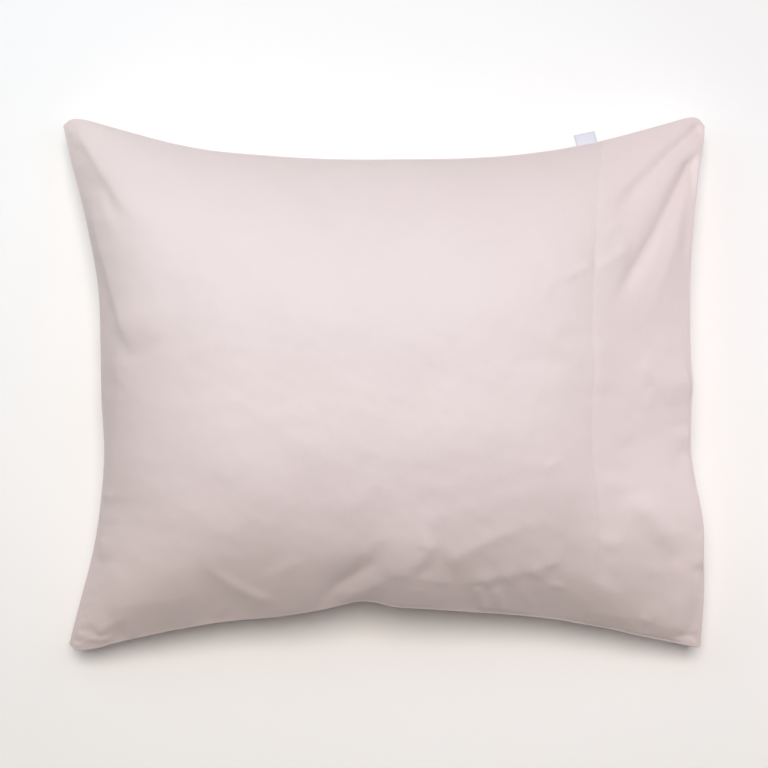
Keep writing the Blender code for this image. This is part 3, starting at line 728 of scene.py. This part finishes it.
def cubic_rows(values, at):
    """Rows of values read at places between them."""
    base = np.clip(np.floor(at).astype(int), 0, len(values) - 2)
    t = (at - base).reshape(-1, *[1] * (values.ndim - 1))
    before, first, second, after = (
        values[np.clip(base + shift, 0, len(values) - 1)] for shift in (-1, 0, 1, 2)
    )
    slope, next_slope = (second - before) / 2, (after - first) / 2
    rest = 1 - t
    ends = first * rest**2 * (1 + 2 * t) + second * t**2 * (3 - 2 * t)
    return ends + slope * t * rest**2 - next_slope * t**2 * rest


# ---------------------------------------------------------------------------------------------
# Fine relief of the cloth


ANY_PHASE = 6.3  # the range of a seeded phase: a full turn, in radians

Unevenness = namedtuple("Unevenness", "height waves shortest longest")
UNEVEN_CLOTH = [
    Unevenness(0.0007, 24, 0.05, 0.16),
    Unevenness(0.00022, 40, 0.012, 0.05),
]

# Puckers that the hem's stitches draw up: the length of each wave, and how much it leans.
HEM_PUCKERS = ((0.0071, 90), (0.0113, -60), (0.0187, 40))
HEM_PUCKER_HEIGHT = 0.00004
HEM_PUCKER_REACH = 0.006

# Puckers that the seams draw up: the lengths of their waves and the spread of their sum, how high
# they are, over what distance from the seam they rise, and how far in they reach.
SEAM_PUCKERS = (0.011, 0.017, 0.027, 0.043)
PUCKER_SPREAD = 0.35
PUCKER_HEIGHT = 0.0006
PUCKER_RISE = 0.004
PUCKER_REACH = 0.014
PUCKER_FADE = 0.002  # the seam itself stays plain over this distance
PUCKER_DRIFT = 0.6  # how far a wave slides to and fro, in radians
PUCKER_DRIFT_TURN = 31  # and how fast, in radians to a metre of seam
PUCKER_REACH_SHARE = 0.4  # how much the reach changes along the seam
PUCKER_REACH_TURN = 47
UNSEWN_START = 0.9  # how far from the middle to the mouth the puckers begin to die out
UNSEWN_RUN = 0.08
UNSEWN_SIDE = 0.97  # nearer than this to a side seam they stay


def waves(rng, count, shortest, longest):
    """Seeded waves for uneven cloth: their wave numbers, phases and lengths."""
    angle = rng.uniform(0, 2 * math.pi, count)
    length = np.exp(rng.uniform(math.log(shortest), math.log(longest), count))
    phase = rng.uniform(0, 2 * math.pi, count)
    number = 2 * math.pi / length
    return np.stack([np.cos(angle) * number, np.sin(angle) * number], axis=1), phase, length


def uneven(places, rng, count, shortest, longest):
    """A smooth uneven field of about -1 to 1."""
    numbers, phases, lengths = waves(rng, count, shortest, longest)
    share = np.sqrt(lengths / longest)
    total = np.zeros(places.shape[:-1])
    for number, phase, weight in zip(numbers, phases, share):
        total += weight * np.sin(places @ number + phase)
    return total / np.sqrt((share**2).sum() * 2)


def hem_reach(sizes, v):
    """How far from the mouth the hem's row of stitches runs: for numbers and for sockets."""
    return sizes.hem_depth - HEM_LEAN * v + HEM_SWAG * (1 - v * v)


def hem_line(sizes, v):
    """The station u of the hem's row of stitches."""
    return 1 - 2 * hem_reach(sizes, v) / FLAT_WIDTH


def hem_relief(sizes, u, v, rng):
    """The groove that the hem's stitches pull, its small puckers, and the thicker hem."""
    off = (u - hem_line(sizes, v)) * FLAT_WIDTH / 2
    groove = -HEM_GROOVE_DEPTH * np.exp(-((off / HEM_GROOVE_WIDTH) ** 2))
    hem = HEM_RISE * smooth_step(off / HEM_STEP)
    along = v * FLAT_HEIGHT / 2
    ripple = sum(
        np.sin(along * 2 * math.pi / length + rng.uniform(0, ANY_PHASE) + off * lean)
        for length, lean in HEM_PUCKERS
    )
    return groove + hem + HEM_PUCKER_HEIGHT * ripple * np.exp(-((off / HEM_PUCKER_REACH) ** 2))


def seam_puckers(form, rng):
    """Small gathers that run in from the sewn seams."""
    away = form.edge_distance()
    x, y = form.plan[..., 0], form.plan[..., 1]
    sides = np.abs(form.v) > np.abs(form.u)
    along = np.where(sides, x, y)
    ripple = np.zeros_like(x)
    for length in SEAM_PUCKERS:
        drift = PUCKER_DRIFT * np.sin(along * PUCKER_DRIFT_TURN + rng.uniform(0, ANY_PHASE))
        phase = drift + rng.uniform(0, ANY_PHASE)
        ripple += np.sqrt(length) * np.sin(along * 2 * math.pi / length + phase)
    change = PUCKER_REACH_SHARE * np.sin(along * PUCKER_REACH_TURN + rng.uniform(0, ANY_PHASE))
    reach = PUCKER_REACH * (1 + change)
    rise = (away / PUCKER_RISE) ** 2
    shape = rise / (1 + rise) * np.exp(-away / reach)
    unsewn = smooth_step((form.u - UNSEWN_START) / UNSEWN_RUN) * (np.abs(form.v) < UNSEWN_SIDE)
    return PUCKER_HEIGHT / PUCKER_SPREAD * ripple * shape * (1 - unsewn)


class Cover:
    """The finished cover: its stations, its smooth form and its skin."""

    COLUMNS = 226
    ROWS = 190
    CROWDING = 0.6
    SEED = 41

    def __init__(self, sizes):
        self.sizes = sizes
        self.u = graded(self.COLUMNS, self.CROWDING)[:, None]
        self.v = graded(self.ROWS, self.CROWDING)[None, :]
        self.u, self.v = np.broadcast_arrays(self.drawn_to_hem(), self.v)
        self.form = Form(sizes, self.u, self.v)
        self.skin = Skin(self.COLUMNS, self.ROWS, len(POCKET))

    def drawn_to_hem(self):
        """The column stations, crowded round the hem's line so that its groove is crisp."""
        line = hem_line(self.sizes, self.v)
        plain = self.u
        off = (plain - line) * FLAT_WIDTH / 2
        draw = HEM_DRAW * np.tanh(off / HEM_DRAW_NEAR) * np.exp(-((off / HEM_DRAW_FAR) ** 2))
        return plain - draw * 2 / FLAT_WIDTH

    def panel(self, smooth, side, folds, moves):
        """One panel of the cover: the smooth form, what settling moved, and the relief."""
        rng = np.random.default_rng(self.SEED + side)
        form = self.form
        points = smooth.copy()
        away = form.edge_distance()
        inner = smooth_step(away / RIM_FADE)
        seen = form.seen(smooth)
        height = fold_relief(seen, folds) * inner
        for relief, *kind in UNEVEN_CLOTH:
            height += relief * uneven(seen, rng, *kind) * inner
        if side > 0:
            height += swell_relief(seen) * inner
        height += hem_relief(self.sizes, self.u, self.v, rng) * smooth_step(away / HEM_FADE)
        height += seam_puckers(form, rng) * smooth_step(away / PUCKER_FADE)
        points += grid_normals(smooth, side) * height[..., None]
        if moves:
            known = moves["front" if side > 0 else "back"]
            points += resampled(known, moves["u"], moves["v"], self.u[:, 0], self.v[0])
        touching = smooth[..., 2] <= 0.0
        points[..., 2] = np.where(touching, 0.0, np.maximum(points[..., 2], 0.0))
        return points

    def build(self, material):
        moves = settled_moves(self.sizes)
        front = self.panel(self.form.front(), 1, FRONT_FOLDS, moves)
        back = self.panel(self.form.back(), -1, BACK_FOLDS, moves)
        points = self.skin.points(self.form, front, back)
        flat = self.skin.flat_places(self.u, self.v)
        return mesh_object("cover", points, self.skin.faces(), material, flat)


def stitch_rings():
    """A stitch about its own middle: places along it, radii, and how far it lies off the cloth."""
    turn = np.linspace(-1, 1, STITCH_STEPS)
    radius = STITCH_RADIUS * np.sqrt(STITCH_BLUNT - turn**2)
    lift = STITCH_RADIUS * (STITCH_STAND - STITCH_DIP * turn**2)
    return turn, radius, lift


def stitch_row(points, normals, pitch):
    """The points of each stitch, at an even pitch along a line on the cloth."""
    run = np.linalg.norm(np.diff(points, axis=0), axis=1)
    arc = np.concatenate([[0], np.cumsum(run)])
    middles = np.arange(pitch, arc[-1] - pitch, pitch)

    def at(values, where):
        return np.stack([np.interp(where, arc, values[:, i]) for i in range(3)], axis=1)

    half = pitch * STITCH_SHARE / 2
    turn, radius, lift = stitch_rings()
    angle = np.arange(STITCH_SIDES) * 2 * math.pi / STITCH_SIDES
    made = []
    for middle in middles:
        spine = at(points, middle + turn * half)
        normal = at(normals, np.array([middle]))[0]
        along = spine[-1] - spine[0]
        side = np.cross(along, normal)
        side /= np.linalg.norm(side)
        spine = spine + lift[:, None] * normal
        ring = np.cos(angle)[:, None] * side + np.sin(angle)[:, None] * normal
        made.append(spine[:, None] + radius[:, None, None] * ring)
    return np.array(made)


def stitch_faces():
    """One stitch's side faces, and its two ends."""
    rings = np.arange(STITCH_STEPS * STITCH_SIDES).reshape(STITCH_STEPS, STITCH_SIDES)
    after = np.roll(rings, -1, axis=1)
    sides = np.stack([rings[:-1], rings[1:], after[1:], after[:-1]], axis=-1).reshape(-1, 4)
    return [*sides.tolist(), rings[0].tolist(), rings[-1, ::-1].tolist()]


def hem_stitches(sizes, cover, material):
    """The two rows of stitches that hold the hem, on the front and the back of a cover."""
    plan = Cover(sizes)
    points = read_points(cover.data)
    made = []
    for panel, side in ((points[plan.skin.front], 1), (points[plan.skin.back], -1)):
        normals = grid_normals(panel, side)
        line, up = [], []
        for j in range(1, plan.ROWS - 1):
            where = hem_line(sizes, plan.v[0, j])
            line.append([np.interp(where, plan.u[:, j], panel[:, j, i]) for i in range(3)])
            up.append([np.interp(where, plan.u[:, j], normals[:, j, i]) for i in range(3)])
        made.append(stitch_row(np.array(line), np.array(up), sizes.stitch_pitch))
    stitches = np.concatenate(made)
    one, count = stitch_faces(), STITCH_STEPS * STITCH_SIDES
    faces = [[index + k * count for index in face] for k in range(len(stitches)) for face in one]
    return mesh_object("hem_stitches", stitches.reshape(-1, 3), faces, material)


def tape_path(length):
    """The folded tape's middle line, from one cut end round the fold to the other: how far out of
    the seam, how high, and the run of tape up to there."""
    out = np.linspace(-LABEL_ROOT, length - TAPE_LOOP, TAPE_RUN_POINTS)
    spread = mix(TAPE_GAP / 2, TAPE_LOOP, smooth_step((out + LABEL_ROOT) / (length + LABEL_ROOT)))
    turn = np.linspace(math.pi / 2, -math.pi / 2, TAPE_LOOP_POINTS)[1:-1]
    loop_out = length - TAPE_LOOP + TAPE_LOOP * np.cos(turn)
    loop_rise = TAPE_LOOP * np.sin(turn)
    outs = np.concatenate([out, loop_out, out[::-1]])
    rises = np.concatenate([spread, loop_rise, -spread[::-1]])
    run = np.concatenate([[0], np.cumsum(np.hypot(np.diff(outs), np.diff(rises)))])
    return outs, rises, run


def folded_label(sizes, material):
    """The tape label, folded once and caught in the seam by its cut ends."""
    level = Form(sizes, 2 * LABEL_MIDDLE / FLAT_WIDTH, 1.0).level
    outs, rises, run = tape_path(sizes.label_length)
    share = np.linspace(-0.5, 0.5, TAPE_WIDTH_POINTS)
    x = LABEL_MIDDLE + share * sizes.label_width
    y = FILLED_HEIGHT / 2 - drawn_in(LABEL_SIDE, x)
    points = np.empty((len(outs), len(share), 3))
    reach = (outs / sizes.label_length)[:, None]
    points[..., 0] = x + LABEL_SET * reach
    points[..., 1] = y + outs[:, None]
    points[..., 2] = level + rises[:, None] - LABEL_DROOP * reach * np.abs(reach)
    points[..., 2] += TAPE_WAVE * np.sin(share * TAPE_WAVE_TURN + TAPE_WAVE_PHASE) * reach
    index = np.arange(points[..., 0].size).reshape(len(outs), len(share))
    faces = quads((index[:-1, :-1], index[:-1, 1:], index[1:, 1:], index[1:, :-1]))
    flat = np.stack(np.broadcast_arrays(share * sizes.label_width, run[:, None]), axis=-1)
    points, flat = points.reshape(-1, 3), flat.reshape(-1, 2)
    label = mesh_object("tape_label", points, faces, material, flat)
    thick = label.modifiers.new("thickness", "SOLIDIFY")
    thick.thickness = TAPE_THICKNESS
    thick.offset = 0.0
    return label, (sizes.label_width, float(run[-1]))


# ---------------------------------------------------------------------------------------------
# Materials


class Value:
    """A shader socket that Python expressions can use: numbers go through Math nodes."""

    def __init__(self, graph, socket):
        self.graph, self.socket = graph, socket

    def math(self, operation, *others, clamp=False):
        settings = {"operation": operation, "use_clamp": clamp}
        return self.graph.node("ShaderNodeMath", settings, dict(enumerate((self, *others))))

    def __add__(self, other):
        return self.math("ADD", other)

    def __sub__(self, other):
        return self.math("SUBTRACT", other)

    def __rsub__(self, other):
        return self.graph.node("ShaderNodeMath", {"operation": "SUBTRACT"}, {0: other, 1: self})

    def __mul__(self, other):
        return self.math("MULTIPLY", other)

    __radd__ = __add__
    __rmul__ = __mul__


class Graph:
    """A material's node tree, and the one way in which nodes are added to it."""

    def __init__(self, name):
        self.material = bpy.data.materials.new(name)
        self.material.use_nodes = True
        self.tree = self.material.node_tree
        self.shader = self.tree.nodes["Principled BSDF"]

    def node(self, kind, settings=None, inputs=None, output=0):
        """Adds a node of a kind, sets it up, fills its sockets, and gives back an output."""
        made = self.tree.nodes.new(kind)
        for name, value in (settings or {}).items():
            setattr(made, name, value)
        for name, value in (inputs or {}).items():
            self.fill(made.inputs[name], value)
        return Value(self, made.outputs[output])

    def fill(self, socket, value):
        if isinstance(value, Value):
            self.tree.links.new(value.socket, socket)
        else:
            socket.default_value = value

    def set(self, **inputs):
        """Fills the shader's sockets, named with underscores for their spaces."""
        for name, value in inputs.items():
            self.fill(self.shader.inputs[name.replace("_", " ")], value)

    def noise(self, where, scale=1.0, detail=2.0, roughness=0.5):
        inputs = {"Vector": where, "Scale": scale, "Detail": detail, "Roughness": roughness}
        return self.node("ShaderNodeTexNoise", None, inputs)

    def stretched(self, where, scale):
        """A place with its three axes scaled, so that a pattern becomes longer along one."""
        inputs = {0: where, 1: scale}
        return self.node("ShaderNodeVectorMath", {"operation": "MULTIPLY"}, inputs)

    def parts(self, where):
        """The three numbers of a place."""
        outputs = self.node("ShaderNodeSeparateXYZ", None, {0: where}).socket.node.outputs
        return tuple(Value(self, output) for output in outputs)

    def blend(self, share, colour, dark, light):
        """A colour that goes from dark to light, both as factors of it."""
        inputs = {0: share, 6: shade(colour, dark), 7: shade(colour, light)}
        return self.node("ShaderNodeMix", {"data_type": "RGBA"}, inputs, output=2)

    def bump(self, height, distance, strength, normal=None):
        inputs = {"Height": height, "Distance": distance, "Strength": strength}
        if normal is not None:
            inputs["Normal"] = normal
        return self.node("ShaderNodeBump", None, inputs)


def shade(colour, factor):
    return tuple(min(1.0, c * factor) for c in colour) + (1.0,)


THREAD_PITCH = 0.00042  # of the cloth's weave, in warp and weft
FLOAT_THREADS = 5  # threads that a float passes over
FLOAT_RISE = 2.5  # threads from one float to the next
WANDER = 5.0  # how far, in radians, the threads stray from straight lines
HEM_BRIGHTER = 0.22  # of the colour's own spread: two layers let less light through
RIB_PITCH = 0.00045  # of the tape's ribs, along it
WALE_PITCH = 0.0003  # and across it


def sateen(colours, sizes):
    """Cotton sateen: fine threads with long floats, uneven yarn, a soft sheen and faint creases."""
    g = Graph("cotton_sateen")
    cloth = g.node("ShaderNodeUVMap", {"uv_map": "cloth"})
    place = g.node("ShaderNodeTexCoord", output="Object")
    across, along, _ = g.parts(cloth)
    turns = 2 * math.pi / THREAD_PITCH
    wander = g.noise(cloth, scale=90.0) * WANDER
    warp = (across * turns + wander).math("SINE")
    weft = (along * turns + wander * 0.8).math("SINE")
    floats = (across * (turns / FLOAT_THREADS) + along * (turns / FLOAT_RISE)).math("SINE")
    weave = warp * 0.35 + weft * 0.65 + floats * 0.3
    slubs = g.noise(g.stretched(cloth, (60.0, 1400.0, 1.0)), detail=3.0, roughness=0.6)
    streaks = g.noise(g.stretched(cloth, (1100.0, 45.0, 1.0)), detail=3.0, roughness=0.6)
    mottle = g.noise(place, scale=14.0, detail=3.0, roughness=0.55)
    crinkle = g.noise(place, scale=160.0, detail=4.0, roughness=0.55)
    yarn = slubs * 0.5 + streaks * 0.5
    past_stitches = hem_reach(sizes, along * (2 / FLAT_HEIGHT)) - (FLAT_WIDTH / 2 - across)
    doubled = past_stitches.math("DIVIDE", HEM_GROOVE_WIDTH, clamp=True)
    tone = mottle * 0.5 + yarn * 0.5 + doubled * HEM_BRIGHTER
    fine = g.bump(weave * 0.5 + yarn * 0.8, distance=0.00003, strength=0.6)
    g.set(
        Base_Color=g.blend(tone, colours.cloth, dark=0.955, light=1.045),
        Roughness=0.47 + yarn * 0.16,
        Normal=g.bump(crinkle, distance=0.00035, strength=0.35, normal=fine),
        Specular_IOR_Level=0.35,
        Sheen_Weight=0.08,
        Sheen_Roughness=0.45,
        Sheen_Tint=(1.0, 0.97, 0.96, 1.0),
    )
    return g.material


def sewing_thread(colours):
    """Twisted polyester thread in the cloth's own colour."""
    g = Graph("sewing_thread")
    place = g.node("ShaderNodeTexCoord", output="Object")
    twist = g.noise(g.stretched(place, (3000.0, 1200.0, 3000.0)))
    g.set(
        Base_Color=g.blend(twist, colours.thread, dark=0.92, light=1.06),
        Roughness=0.42 + twist * 0.12,
        Normal=g.bump(twist, distance=0.00005, strength=0.6),
    )
    return g.material


def woven_tape(colours):
    """White satin-woven tape with fine ribs."""
    g = Graph("woven_tape")
    cloth = g.node("ShaderNodeUVMap", {"uv_map": "cloth"})
    across, along, _ = g.parts(cloth)
    ribs = (along * (2 * math.pi / RIB_PITCH)).math("SINE")
    wales = (across * (2 * math.pi / WALE_PITCH)).math("SINE")
    weave = ribs * 0.7 + wales * 0.3
    mottle = g.noise(g.stretched(cloth, (900.0, 250.0, 1.0)), detail=3.0)
    g.set(
        Base_Color=g.blend(mottle, colours.tape, dark=0.93, light=1.04),
        Roughness=0.55 + mottle * 0.1,
        Normal=g.bump(weave * 0.6 + mottle * 0.4, distance=0.00006, strength=0.7),
        Sheen_Weight=0.15,
    )
    return g.material


def paper_floor(colours):
    """A plain pale floor with the faintest mottle."""
    g = Graph("pale_floor")
    place = g.node("ShaderNodeTexCoord", output="Object")
    mottle = g.noise(place, scale=3.0, detail=3.0)
    base = g.blend(mottle, colours.floor, dark=0.99, light=1.01)
    g.set(Base_Color=base, Roughness=0.9 + mottle * 0.05)
    return g.material


# ---------------------------------------------------------------------------------------------
# The pieces


class PILLOWCASE_OT_cover(Operator):
    """Make the filled cover, with its folds, hem and seams"""

    bl_idname = "pillowcase.cover"
    bl_label = "Cover"

    def execute(self, context):
        sizes, colours = context.scene.pillowcase_sizes, context.scene.pillowcase_colours
        cover = Cover(sizes).build(sateen(colours, sizes))
        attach(cover, "root")
        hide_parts("case")
        return {"FINISHED"}


class PILLOWCASE_OT_hem_stitches(Operator):
    """Make the two rows of stitches that hold the hem, on the finished cover"""

    bl_idname = "pillowcase.hem_stitches"
    bl_label = "Hem stitches"

    def execute(self, context):
        sizes, colours = context.scene.pillowcase_sizes, context.scene.pillowcase_colours
        stitches = hem_stitches(sizes, bpy.data.objects["cover"], sewing_thread(colours))
        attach(stitches, "root")
        return {"FINISHED"}


class PILLOWCASE_OT_label(Operator):
    """Make the folded tape label in the side seam"""

    bl_idname = "pillowcase.label"
    bl_label = "Label"

    def execute(self, context):
        sizes, colours = context.scene.pillowcase_sizes, context.scene.pillowcase_colours
        label, flat = folded_label(sizes, woven_tape(colours))
        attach(label, "root")
        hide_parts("label")
        return {"FINISHED"}


# The lamps: how far each leans from straight above, towards which side it leans, counted from +X
# towards +Y, both in degrees, its distance and size in metres, its power and its colour. The size
# of the overhead one is the angle that it fills, in radians.
Lamp = namedtuple("Lamp", "name lean turn distance size power colour")
SOFT_BOXES = [
    Lamp("softbox_front", 25, 45, 0.9, 0.54, 1.30, (0.56, 0.72, 1.0)),
    Lamp("softbox_right", 75, 0, 0.9, 0.54, 0.87, (0.94, 0.95, 1.0)),
    Lamp("softbox_back", 25, 135, 0.9, 0.54, 0.87, (0.72, 0.89, 1.0)),
    Lamp("softbox_left", 50, 135, 0.9, 0.54, 0.95, (0.60, 0.81, 1.0)),
]
OVERHEAD = Lamp("overhead", 15, 90, 2.0, math.radians(30), 2.44, (1.0, 0.92, 0.84))


class PILLOWCASE_OT_stage(Operator):
    """Make the pale floor, the soft light and the camera straight above"""

    bl_idname = "pillowcase.stage"
    bl_label = "Stage"

    PHOTO_SIDE = 768
    METRES_PER_PIXEL = 0.00093
    FLOOR_SIDE = 12.0

    def execute(self, context):
        scene = context.scene
        self.make_floor(scene)
        self.make_lights(scene)
        self.make_camera(scene)
        scene.view_settings.view_transform = "Standard"
        return {"FINISHED"}

    def make_floor(self, scene):
        half = self.FLOOR_SIDE / 2
        corners = np.array([(-half, -half, 0), (half, -half, 0), (half, half, 0), (-half, half, 0)])
        material = paper_floor(scene.pillowcase_colours)
        mesh_object("floor", corners, np.array([[0, 1, 2, 3]]), material)

    def make_lights(self, scene):
        world = bpy.data.worlds.new("dark_studio")
        scene.world = world
        world.use_nodes = True
        world.node_tree.nodes["Background"].inputs["Strength"].default_value = 0.0
        for lamp in SOFT_BOXES:
            light = self.add_lamp(scene, lamp, "AREA")
            light.shape = "SQUARE"
            light.size = lamp.size
        self.add_lamp(scene, OVERHEAD, "SUN").angle = OVERHEAD.size

    def add_lamp(self, scene, lamp, kind):
        lean, turn = math.radians(lamp.lean), math.radians(lamp.turn)
        sideways = Vector((math.cos(turn), math.sin(turn), 0.0)) * math.sin(lean)
        direction = sideways + Vector((0.0, 0.0, math.cos(lean)))
        light = bpy.data.lights.new(lamp.name, kind)
        light.energy = lamp.power
        light.color = lamp.colour
        holder = bpy.data.objects.new(lamp.name, light)
        holder.location = direction * lamp.distance
        holder.rotation_euler = direction.to_track_quat("Z", "Y").to_euler()
        scene.collection.objects.link(holder)
        return light

    def make_camera(self, scene):
        camera = bpy.data.cameras.new("camera")
        view_width = self.PHOTO_SIDE * self.METRES_PER_PIXEL
        camera.lens = camera.sensor_width * CAMERA_DISTANCE / view_width
        holder = bpy.data.objects.new("camera", camera)
        holder.location = (0.0, 0.0, CAMERA_DISTANCE + scene.pillowcase_sizes.seam_level)
        scene.collection.objects.link(holder)
        scene.camera = holder


class PILLOWCASE_PT_panel(Panel):
    """The sizes, the colours and the steps of the pillowcase"""

    bl_label = "Pillowcase"
    bl_space_type = "VIEW_3D"
    bl_region_type = "UI"
    bl_category = "Pillowcase"

    def draw(self, context):
        column = self.layout.column()
        for group in (context.scene.pillowcase_sizes, context.scene.pillowcase_colours):
            for name in group.__annotations__:
                column.prop(group, name)
        for operator in OPERATORS:
            column.operator(operator.bl_idname)


OPERATORS = (
    PILLOWCASE_OT_cover,
    PILLOWCASE_OT_hem_stitches,
    PILLOWCASE_OT_label,
    PILLOWCASE_OT_stage,
)
CLASSES = (PillowcaseSizes, PillowcaseColours, *OPERATORS, PILLOWCASE_PT_panel)


def register():
    for made in CLASSES:
        bpy.utils.register_class(made)
    bpy.types.Scene.pillowcase_sizes = PointerProperty(type=PillowcaseSizes)
    bpy.types.Scene.pillowcase_colours = PointerProperty(type=PillowcaseColours)


def unregister():
    del bpy.types.Scene.pillowcase_colours
    del bpy.types.Scene.pillowcase_sizes
    for made in reversed(CLASSES):
        bpy.utils.unregister_class(made)


def main():
    register()
    bpy.ops.pillowcase.cover()
    bpy.ops.pillowcase.hem_stitches()
    bpy.ops.pillowcase.label()
    bpy.ops.pillowcase.stage()


if __name__ == "__main__":
    main()
